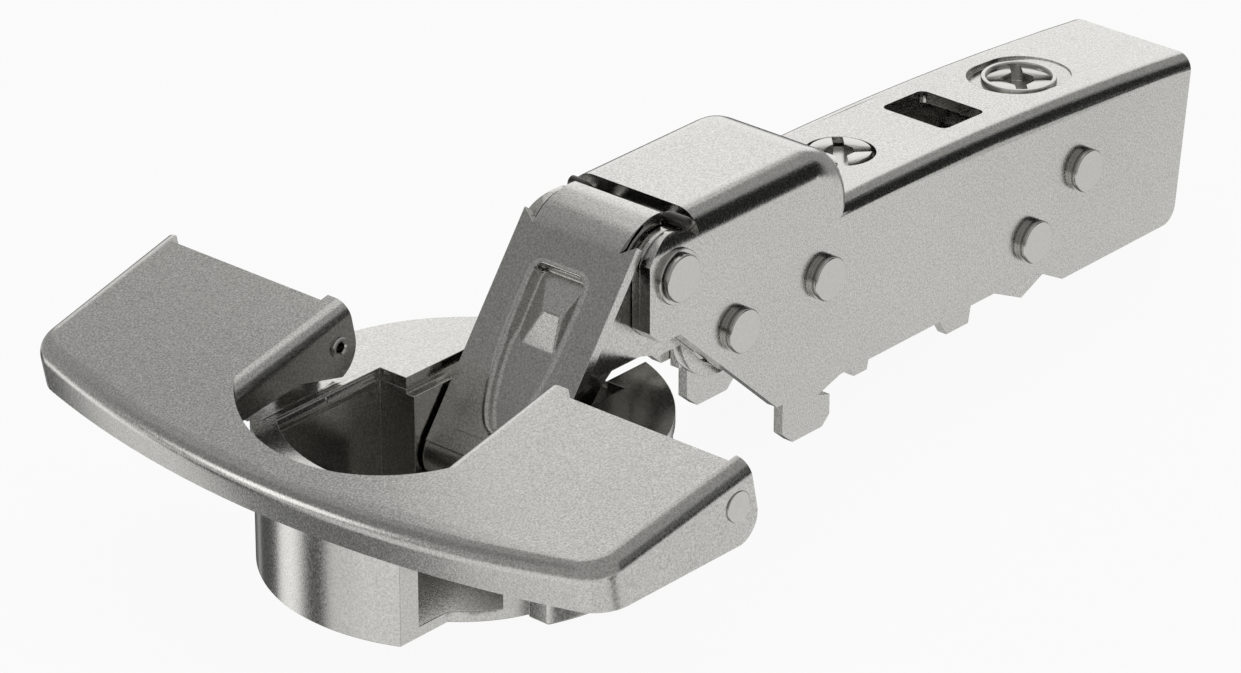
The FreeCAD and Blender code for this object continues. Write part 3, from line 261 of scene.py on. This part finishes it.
# How far inside the well's rim a point lies
def insideWell(down, across):
    run = max((down - link["straight"]) / (link["tip"] - link["straight"]), 0.0)
    half = link["half"] * max(1 - min(run, 1.0) ** link["taper"], 0.0) ** link["fullness"]
    side = half - abs(across)
    if run > 0:
        side = min(side, link["tipSlope"] * (link["tip"] - down)) * link["tipShare"]
    above = down - link["top"]
    corner = link["corner"]
    if side < corner and above < corner:
        return corner - math.hypot(corner - side, corner - above)
    return min(side, above)


# Height of the pressed face at a point: the well's floor, the lip round it and the wedge's four facets
def faceHeight(down, across):
    inside = insideWell(down, across)
    shallow = smoothStep((down - link["floorFrom"]) / (link["floorTo"] - link["floorFrom"]))
    deep = link["deepFloor"] + (link["floor"] - link["deepFloor"]) * shallow
    well = -deep * smoothStep(inside / link["slope"])
    fromLip = inside + link["lipOut"]
    if abs(fromLip) < link["lipWide"]:
        well += link["lip"] * math.cos(fromLip / link["lipWide"] * math.pi / 2) ** 2
    if inside <= link["ridgeInside"]:
        return well
    crest = -link["ridgeDepth"]
    upperDeep = link["deepFloor"] - link["ridgeDepth"]
    lowerDeep = link["floor"] + link["lowerUnder"] - link["ridgeDepth"]
    upper = crest - (link["ridge"] - down) * upperDeep / (link["ridge"] - link["upperFrom"])
    lower = crest - (down - link["ridge"]) * lowerDeep / (link["lowerTo"] - link["ridge"])
    left = crest - (across - link["ridgeLeft"]) * link["leftFall"]
    right = crest - (link["ridgeRight"] - across) * link["rightFall"]
    return max(well, min(upper, lower, left, right, 0.0))


wellForm = bmesh.new()
wellSize = [high - low for low, high in zip(link["low"], link["high"])]
bmesh.ops.create_grid(wellForm, x_segments=round(wellSize[0] / link["step"]),
                      y_segments=round(wellSize[1] / link["step"]), size=0.5)
bmesh.ops.scale(wellForm, vec=(*wellSize, 1), verts=wellForm.verts)
bmesh.ops.translate(wellForm, vec=(link["low"][0] + wellSize[0] / 2, link["low"][1] + wellSize[1] / 2, 0),
                    verts=wellForm.verts)
for vert in wellForm.verts:
    vert.co.z = link["border"] if vert.is_boundary else faceHeight(vert.co.x, vert.co.y) + link["lift"]
bmesh.ops.solidify(wellForm, geom=wellForm.faces[:], thickness=link["thick"])
bmesh.ops.transform(wellForm, matrix=linkPlace, verts=wellForm.verts)
bmesh.ops.recalc_face_normals(wellForm, faces=wellForm.faces)
finished("outer_link_well", wellForm, nickelSteel, "outer_link", sharp=60.0)

# Under the pressed face the plain recess is taken deeper, so that it stays out of sight, and the plate's two
# upper corners move 1 mm up. Both are in mm along the link's own axes.
plainRecess = {
    "half": 3.0, "from": 3.2, "to": 17.8, "floorLow": -0.6, "floorHigh": -0.3, "newFloor": -1.05,
    "corner": 0.35, "cornerClose": 0.02, "cornerAcross": 6.0, "cornerAbove": -1.2, "newCorner": -0.65,
}


def deepened(form):
    toLink = linkPlace.inverted()
    for vert in form.verts:
        spot = toLink @ vert.co
        atCorner = abs(spot.x - plainRecess["corner"]) < plainRecess["cornerClose"]
        if atCorner and abs(spot.y) > plainRecess["cornerAcross"] and spot.z > plainRecess["cornerAbove"]:
            vert.co = linkPlace @ Vector((plainRecess["newCorner"], spot.y, spot.z))
        onFloor = plainRecess["floorLow"] < spot.z < plainRecess["floorHigh"]
        inLength = plainRecess["from"] < spot.x < plainRecess["to"]
        if onFloor and inLength and abs(spot.y) < plainRecess["half"]:
            vert.co = linkPlace @ Vector((spot.x, spot.y, plainRecess["newFloor"]))
    return form


# A pressed or cast part has no knife edges: every edge that turns by more than the angle from, in degrees,
# is eased by the radius of its trade, in mm. Shading stays hard only from the angle hard on.
easing = {"from": 28.0, "hard": 75.0, "weight": 60}
sharpEdge = math.radians(easing["from"])


def eased(name, form, material, radius, body):
    chosen = [edge for edge in form.edges if edge.is_manifold and edge.calc_face_angle(0.0) > sharpEdge]
    rounded(form, chosen, radius * mm)
    piece = finished(name + "_eased", form, material, body, sharp=easing["hard"])
    flatten = piece.modifiers.new("even_flats", "WEIGHTED_NORMAL")
    flatten.weight = easing["weight"]
    flatten.keep_sharp = True
    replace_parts(piece, name)


# Rounds the upright corners of the arm's window, and softens the pressed rim round the cam
armSoft = {
    "segments": 5,
    "window": {"x": (58.96, 64.85), "half": 3.64, "radius": 0.7, "close": 0.1, "lean": 0.05, "tall": 0.4},
    "recess": {"x": (68.5, 80.2), "middle": 74.3, "clear": 3.0, "half": 4.3, "above": 6.35, "radius": 0.4},
}


def softenedArm(form):
    window = armSoft["window"]
    corners = []
    for edge in form.edges:
        first, last = (vert.co / mm for vert in edge.verts)
        lean = math.hypot(first.x - last.x, first.y - last.y)
        upright = lean < window["lean"] and abs(first.z - last.z) > window["tall"]
        onEnd = any(abs(first.x - x) < window["close"] for x in window["x"])
        onSide = abs(abs(first.y) - window["half"]) < window["close"]
        if upright and onEnd and onSide:
            corners.append(edge)
    rounded(form, corners, window["radius"] * mm, armSoft["segments"])
    press = armSoft["recess"]
    rim = []
    for edge in form.edges:
        spots = [vert.co / mm for vert in edge.verts]
        inLength = all(press["x"][0] < spot.x < press["x"][1] for spot in spots)
        inWidth = all(abs(spot.y) < press["half"] for spot in spots)
        offCam = all(abs(spot.y) + abs(spot.x - press["middle"]) > press["clear"] for spot in spots)
        onTop = all(spot.z > press["above"] for spot in spots)
        turn = edge.calc_face_angle(0.0) if edge.is_manifold else 0.0
        if inLength and inWidth and offCam and onTop and turn > sharpEdge:
            rim.append(edge)
    rounded(form, rim, press["radius"] * mm, armSoft["segments"])
    return form


trade = {
    "arm": {"arm_housing": (nickelSteel, 0.16), "arm_liner": (nickelSteel, 0.12),
            "cam_ring": (nickelSteel, 0.06)},
    "carrier": {"carrier": (nickelSteel, 0.14)},
    "release_lever": {"release_lever": (nickelSteel, 0.12)},
    "outer_link": {"outer_link": (nickelSteel, 0.16)},
    "inner_link": {"inner_link": (nickelSteel, 0.14)},
    "cup": {"cup_shell": (castNickel, 0.25), "cup_flange": (castNickel, 0.22),
            "outer_cup_pin": (rivetSteel, 0.06), "inner_cup_pin": (rivetSteel, 0.06)},
    "jaw_left": {"clamp_jaw_left": (castNickel, 0.2)},
    "jaw_right": {"clamp_jaw_right": (castNickel, 0.2)},
    "flap": {"flap_plate": (nickelSteel, 0.18)},
}
for body, members in trade.items():
    for node, (material, radius) in members.items():
        form = nodeMesh(node)
        if node == "outer_link":
            form = deepened(form)
        if node == "arm_housing":
            form = softenedArm(form)
        eased(node, form, material, radius, body)

# Springs: smooth drawn wire. The closing spring's left end is cut short behind the curl.
springs = {"members": ("closing_spring", "lever_spring"), "cutAt": {"closing_spring": 5.9}, "close": 0.001}
for node in springs["members"]:
    form = nodeMesh(node)
    if node in springs["cutAt"]:
        bmesh.ops.bisect_plane(form, geom=form.verts[:] + form.edges[:] + form.faces[:],
                               dist=springs["close"] * mm, plane_co=(0, springs["cutAt"][node] * mm, 0),
                               plane_no=(0, 1, 0), clear_outer=True)
        bmesh.ops.holes_fill(form, edges=[edge for edge in form.edges if edge.is_boundary], sides=0)
    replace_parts(finished(node + "_smooth", form, wireSteel, "arm"), node)

# Where the link's plate runs into its curl: a soft step instead of a sharp one. Each point is an angle about
# the rivet in degrees and a distance from its axis in mm.
curlBlend = {
    "half": 4.8,
    "outer": ((147.6, 5.52), (141, 5.38), (134, 5.24), (126, 5.1), (118, 5.0), (110, 4.96)),
    "inner": ((110, 4.6), (130, 4.6), (150, 4.8)),
}
section = []
for degrees, reach in curlBlend["outer"] + curlBlend["inner"]:
    turn = math.radians(degrees)
    section.append(linkPivot + Vector((reach * math.cos(turn), -curlBlend["half"], reach * math.sin(turn))))
form = prism([spot * mm for spot in section], (0, 2 * curlBlend["half"] * mm, 0))
finished("outer_link_curl_foot", form, nickelSteel, "outer_link", sharp=35.0)

# Rolled bead along the left of the cup's mouth, with a fine notch
bead = {"radius": 0.95, "from": -12.6, "to": 0.6, "across": 11.15, "top": 1.22, "steps": 48,
        "endShare": 0.7, "endLong": 0.3, "notch": -5.5, "notchHalf": 0.1, "notchDeep": 0.12}
reach = bead["radius"]
form = turnedForm([
    (0, bead["from"]), (reach * bead["endShare"], bead["from"]), (reach, bead["from"] + bead["endLong"]),
    (reach, bead["notch"] - bead["notchHalf"]), (reach - bead["notchDeep"], bead["notch"]),
    (reach, bead["notch"] + bead["notchHalf"]),
    (reach, bead["to"] - bead["endLong"]), (reach * bead["endShare"], bead["to"]), (0, bead["to"]),
], bead["steps"])
setDown(form, (0, bead["across"], bead["top"] - reach), Matrix.Rotation(math.radians(90), 4, "Y"))
finished("cup_mouth_bead", form, castNickel, "cup")
print("sheet and cast pieces dressed")

# Rivets of the arm: a flat face, a broken rim and a groove above the wall. The front one has a collar.
# Each member has its radius and its collar's.
rivets = {
    "wall": 7.12, "end": 8.02, "rim": 0.12, "rimIn": 0.04, "rimDown": 0.05,
    "band": 0.36, "groove": 0.22, "grooveWide": 0.14, "grooveMiddle": 0.5, "grooveEnd": 1.6,
    "collar": 0.35, "collarRim": 0.08,
    "members": {"front_pin": (2.13, 2.5), "inner_link_pin": (2.02, 0), "spring_pin": (2.02, 0),
                "carrier_pin": (2.02, 0), "lever_pin": (2.02, 0)},
}


def rivetEnd(radius, collar):
    end = rivets["end"]
    low = end - rivets["band"]
    wide = rivets["grooveWide"]
    throat = radius - rivets["groove"]
    line = [(0, end), (radius - rivets["rim"], end), (radius - rivets["rimIn"], end - rivets["rimDown"]),
            (radius, end - rivets["rim"]), (radius, low), (throat, low - wide * rivets["grooveMiddle"])]
    if collar:
        top = rivets["wall"] + rivets["collar"]
        line += [(throat, top), (collar - rivets["collarRim"], top), (collar, top - rivets["collarRim"]),
                 (collar, rivets["wall"]), (radius, rivets["wall"])]
    else:
        line += [(throat, low - wide), (radius, low - wide * rivets["grooveEnd"])]
    return line


for node, (radius, collar) in rivets["members"].items():
    line = rivetEnd(radius, collar)
    form = turnedForm(line + [(reach, -height) for reach, height in reversed(line)])
    setDown(form, middleOf(node), alongY)
    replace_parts(finished(node + "_turned", form, rivetSteel, "arm", sharp=32.0), node)

# Rivets of the flap: flush heads outside, hollow ends inside with a rolled lip over a neck
flapRivet = {
    "inner": 11.0, "face": 32.6, "steps": 48, "head": 1.35, "headTall": 0.6, "rim": 0.05, "shank": 1.0,
    "hollow": 0.48, "hollowDeep": 1.6, "proud": 0.28, "lipTall": 0.12, "lipFlat": 0.1, "lipIn": 0.05,
    "neckIn": 0.14, "neckLow": 0.02, "neckHigh": 0.1,
}
for node, side in (("flap_pin_left", 1), ("flap_pin_right", -1)):
    spot = middleOf(node)
    inner, face, hollow, shank = (flapRivet[word] for word in ("inner", "face", "hollow", "shank"))
    head, rim = flapRivet["head"], flapRivet["rim"]
    seat = face - flapRivet["headTall"]
    bottom = inner + flapRivet["hollowDeep"]
    tip = inner - flapRivet["proud"]
    lipBack = tip + flapRivet["lipTall"]
    lipMiddle = (hollow + shank) / 2
    neck = shank - flapRivet["neckIn"]
    neckTop = inner + flapRivet["neckHigh"]
    line = [(0, bottom), (hollow, bottom), (hollow, lipBack), (lipMiddle - flapRivet["lipFlat"], tip),
            (lipMiddle + flapRivet["lipFlat"], tip), (shank - flapRivet["lipIn"], lipBack),
            (neck, inner - flapRivet["neckLow"]), (neck, neckTop), (shank, neckTop), (shank, seat),
            (head, seat), (head, face - rim), (head - rim, face), (0, face)]
    form = turnedForm(line, flapRivet["steps"])
    if side < 0:
        bmesh.ops.rotate(form, verts=form.verts, cent=(0, 0, 0), matrix=Matrix.Rotation(math.pi, 3, "X"))
    setDown(form, (spot.x, 0, spot.z), alongY)
    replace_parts(finished(node + "_turned", form, rivetSteel, "flap", sharp=32.0), node)


# Four teeth that leave a star for the driver. Each has an inner flat, an outer arc and sides that run
# along the diagonals.
tooth = {"arcSteps": 5, "rim": 0.07, "close": 0.001}


def starTeeth(inner, outer, slot, top, tall):
    shiftSide = slot / 2 * math.sqrt(2)
    edgeX = (shiftSide + math.sqrt(2 * outer * outer - shiftSide * shiftSide)) / 2
    reach = math.atan2(edgeX - shiftSide, edgeX)
    turns = [reach * step / tooth["arcSteps"] for step in range(-tooth["arcSteps"], tooth["arcSteps"] + 1)]
    arc = [(outer * math.cos(turn), outer * math.sin(turn)) for turn in turns]
    plan = [(inner, -(inner - shiftSide)), *arc, (inner, inner - shiftSide)]
    teeth = []
    for quarter in range(4):
        form = prism([(x, y, top) for x, y in plan], (0, 0, -tall))
        upper = [edge for edge in form.edges if all(vert.co.z > top - tooth["close"] for vert in edge.verts)]
        rounded(form, upper, tooth["rim"])
        bmesh.ops.rotate(form, verts=form.verts, cent=(0, 0, 0),
                         matrix=Matrix.Rotation(quarter * math.pi / 2, 3, "Z"))
        teeth.append(form)
    return teeth


# Side screw: a star head over a threaded shank, held by a flange under the sheet. Thread root and crest are
# shares of the pitch.
sideScrew = {
    "head": 2.8, "slotDeep": 0.95, "slot": 0.95, "inner": 1.2, "toothSunk": 0.02,
    "flange": 3.9, "flangeLow": 2.3, "flangeTall": 0.8, "shank": 2.5, "root": 2.08, "pitch": 0.8,
    "plain": 0.4, "rootShare": 0.45, "crestShare": 0.9, "tip": 8.2,
}
spot = middleOf("overlay_screw")
head, flange, shank, root = (sideScrew[word] for word in ("head", "flange", "shank", "root"))
screwFloor = -sideScrew["slotDeep"]
screwTip = -sideScrew["tip"]
pitch = sideScrew["pitch"]
flangeFoot = -sideScrew["flangeLow"]
flangeTop = flangeFoot + sideScrew["flangeTall"]
line = [(0, screwFloor), (head, screwFloor), (head, flangeTop), (flange, flangeTop), (flange, flangeFoot),
        (shank, flangeFoot)]
height = flangeFoot - sideScrew["plain"]
while height > screwTip + pitch:
    line += [(shank, height), (root, height - pitch * sideScrew["rootShare"]),
             (shank, height - pitch * sideScrew["crestShare"])]
    height -= pitch
line += [(root, screwTip), (0, screwTip)]
teeth = starTeeth(sideScrew["inner"], head, sideScrew["slot"], 0.0,
                  sideScrew["slotDeep"] + sideScrew["toothSunk"])
form = gathered(turnedForm(line), *teeth)
setDown(form, (spot.x, spot.y, topOf("overlay_screw")))
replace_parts(finished("overlay_screw_star", form, rivetSteel, "overlay_screw", sharp=32.0), "overlay_screw")

# Depth cam: a raised ring round the star, and the cam pin off centre below. The ring's two roundings are
# steps across and down.
cam = {
    "ring": 3.45, "body": 3.08, "seat": 0.07, "ringWall": 0.48, "rise": 0.34, "slotDeep": 1.5, "slot": 1.0,
    "innerRound": ((0.0, 0.12), (0.1, 0.02), (0.2, 0.0)),
    "outerRound": ((0.14, 0.0), (0.04, 0.04), (0.0, 0.14)),
    "inner": 1.35, "toothLow": 0.3, "toothSunk": 0.02, "toothReach": 0.03,
    "neck": 1.95, "under": 1.95, "low": 3.5,
    "pin": 1.5, "pinOff": 1.0, "pinLow": 5.2, "pinSunk": 0.1, "pinSteps": 40,
}
spot = middleOf("depth_cam")
camTop = cam["rise"]
camFloor = camTop - cam["slotDeep"]
camLow = -cam["low"]
bore = cam["ring"] - cam["ringWall"]
ringForm = turnedForm([
    (0, camFloor), (bore, camFloor), *[(bore + across, camTop - down) for across, down in cam["innerRound"]],
    *[(cam["ring"] - across, camTop - down) for across, down in cam["outerRound"]],
    (cam["ring"], -cam["seat"]), (cam["body"], -cam["seat"]), (cam["body"], -cam["under"]),
    (cam["neck"], -cam["under"]), (cam["neck"], camLow), (0, camLow),
])
pinTop = camLow + cam["pinSunk"]
pinForm = turnedForm([(0, pinTop), (cam["pin"], pinTop), (cam["pin"], -cam["pinLow"]), (0, -cam["pinLow"])],
                     cam["pinSteps"])
bmesh.ops.translate(pinForm, vec=(cam["pinOff"], 0, 0), verts=pinForm.verts)
teeth = starTeeth(cam["inner"], bore + cam["toothReach"], cam["slot"], camTop - cam["toothLow"],
                  cam["slotDeep"] - cam["toothLow"] + cam["toothSunk"])
form = gathered(ringForm, pinForm, *teeth)
setDown(form, (spot.x, spot.y, topOf("depth_cam")))
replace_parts(finished("depth_cam_star", form, rivetSteel, "depth_cam", sharp=32.0), "depth_cam")
print("rivets and screws made")

# Camera: stands where the photographer's stood, in millimetres and degrees
view = {"target": (-22.694, -37.228, 28.152), "distance": 479.98, "azimuth": -48.781, "elevation": 25.983,
        "lens": 185.7, "sensor": 36.0, "nearest": 10}
azimuth = math.radians(view["azimuth"])
elevation = math.radians(view["elevation"])
cameraData = bpy.data.cameras.new("camera")
cameraData.lens = view["lens"]
cameraData.sensor_width = view["sensor"]
cameraData.clip_start = view["nearest"] * mm
camera = bpy.data.objects.new("camera", cameraData)
away = Vector((math.sin(azimuth) * math.cos(elevation), -math.cos(azimuth) * math.cos(elevation),
               math.sin(elevation)))
camera.location = Vector(view["target"]) * mm + away * view["distance"] * mm
camera.rotation_euler = (math.pi / 2 - elevation, 0, azimuth)
bpy.context.scene.collection.objects.link(camera)
bpy.context.scene.camera = camera

# Floor: pale paper. The camera sees it white apart from the shadow, the metal sees the studio in its place.
floor = {"drop": 0.05, "reach": 3000.0, "paper": "f4f4f2", "glow": 0.93}
floorForm = bmesh.new()
bmesh.ops.create_grid(floorForm, x_segments=1, y_segments=1, size=floor["reach"] * mm)
bmesh.ops.translate(floorForm, verts=floorForm.verts, vec=(0, 0, cadBox[0][2] - floor["drop"] * mm))
floorMesh = bpy.data.meshes.new("paper_floor")
floorForm.to_mesh(floorMesh)
floorForm.free()
paperFloor = bpy.data.objects.new("paper_floor", floorMesh)
bpy.context.scene.collection.objects.link(paperFloor)
paper, paperTree = newMaterial("white_paper_floor")
rayKind = addNode(paperTree, "ShaderNodeLightPath")
seen = addNode(paperTree, "ShaderNodeMath", {"operation": "MULTIPLY"}, in0=rayKind.outputs["Is Camera Ray"],
               in1=floor["glow"])
matt = addNode(paperTree, "ShaderNodeBsdfDiffuse", Color=colour(floor["paper"]))
glow = addNode(paperTree, "ShaderNodeEmission", Color=white, Strength=1.0)
clear = addNode(paperTree, "ShaderNodeBsdfTransparent", Color=white)
blendPaper = addNode(paperTree, "ShaderNodeMixShader", in0=seen.outputs[0], in1=matt.outputs[0],
                     in2=glow.outputs[0])
mirrorPaper = addNode(paperTree, "ShaderNodeMixShader", in0=rayKind.outputs["Is Glossy Ray"],
                      in1=blendPaper.outputs[0], in2=clear.outputs[0])
addNode(paperTree, "ShaderNodeOutputMaterial", Surface=mirrorPaper.outputs[0])
floorMesh.materials.append(paper)

# World: the studio that the metal mirrors, dim above and pale below, with soft panels and dark flags.
# Each has its azimuth from +X to +Y and its elevation, the angle of its core and of its soft edge, all in
# degrees, and what it adds.
studio = {
    "above": 0.42, "below": 0.9, "turnsFrom": -0.3, "turnsTo": -0.12, "least": 0.02,
    "panels": {
        "bright_wall_behind": ((40, 18), 17, 27, 0.85),
        "dark_flag_right": ((-48, 0), 10, 18, -1.2),
        "dark_flag_right_high": ((-44, 18), 10, 26, -0.5),
        "dark_corner": ((-81, -26), 7, 14, -0.7),
        "white_strip_front": ((142, 4), 7, 13, 1.5),
        "dark_below": ((0, -90), 22, 40, -0.7),
        "dim_front_left": ((138, 34), 14, 26, -0.12),
        "dark_card_left": ((132, -25), 5, 11, -0.8),
        "bright_gap_left": ((110, -25), 4, 11, 0.5),
        "dark_card_rim": ((131, -44), 8, 14, -0.7),
        "dark_card_far_left": ((84, -26), 10, 15, -0.8),
        "dark_behind": ((41, -27), 16, 28, -0.8),
        "bright_front": ((190, -28), 14, 34, 0.12),
    },
}


def wayOf(azimuthDegrees, elevationDegrees):
    turn, rise = math.radians(azimuthDegrees), math.radians(elevationDegrees)
    return Vector((math.cos(turn) * math.cos(rise), math.sin(turn) * math.cos(rise), math.sin(rise)))


world = bpy.data.worlds.new("studio")
bpy.context.scene.world = world
world.use_nodes = True
worldTree = world.node_tree
worldTree.nodes.clear()
worldRay = addNode(worldTree, "ShaderNodeLightPath")
worldPlace = addNode(worldTree, "ShaderNodeTexCoord")
worldAxes = addNode(worldTree, "ShaderNodeSeparateXYZ", Vector=worldPlace.outputs["Generated"])
total = addNode(worldTree, "ShaderNodeMapRange", {"interpolation_type": "SMOOTHSTEP"},
                Value=worldAxes.outputs["Z"], in1=studio["turnsFrom"], in2=studio["turnsTo"],
                in3=studio["below"], in4=studio["above"])
for way, core, edge, gain in studio["panels"].values():
    facing = addNode(worldTree, "ShaderNodeVectorMath", {"operation": "DOT_PRODUCT"},
                     in0=worldPlace.outputs["Generated"], in1=wayOf(*way))
    panel = addNode(worldTree, "ShaderNodeMapRange", {"interpolation_type": "SMOOTHSTEP"},
                    Value=facing.outputs["Value"], in1=math.cos(math.radians(edge)),
                    in2=math.cos(math.radians(core)), in3=0.0, in4=gain)
    total = addNode(worldTree, "ShaderNodeMath", {"operation": "ADD"}, in0=total.outputs[0],
                    in1=panel.outputs[0])
lit = addNode(worldTree, "ShaderNodeMath", {"operation": "MAXIMUM"}, in0=total.outputs[0],
              in1=studio["least"])
strength = addNode(worldTree, "ShaderNodeMix", {"data_type": "FLOAT"},
                   Factor=worldRay.outputs["Is Camera Ray"], in2=lit.outputs[0], in3=1.0)
sky = addNode(worldTree, "ShaderNodeBackground", Color=white, Strength=strength.outputs[0])
addNode(worldTree, "ShaderNodeOutputWorld", Surface=sky.outputs[0])

# Lamp: broad and soft, in millimetres and watts
lamp = {"at": (55, 30, 112), "to": (-11, -25, 6), "size": 90, "watts": 0.012}
lampData = bpy.data.lights.new("near_panel", "AREA")
lampData.energy = lamp["watts"]
lampData.size = lamp["size"] * mm
light = bpy.data.objects.new("near_panel", lampData)
light.location = Vector(lamp["at"]) * mm
aim = Vector(lamp["to"]) * mm - light.location
light.rotation_euler = aim.to_track_quat("-Z", "Y").to_euler()
bpy.context.scene.collection.objects.link(light)
print("studio ready")

bpy.context.scene.view_settings.view_transform = "Standard"
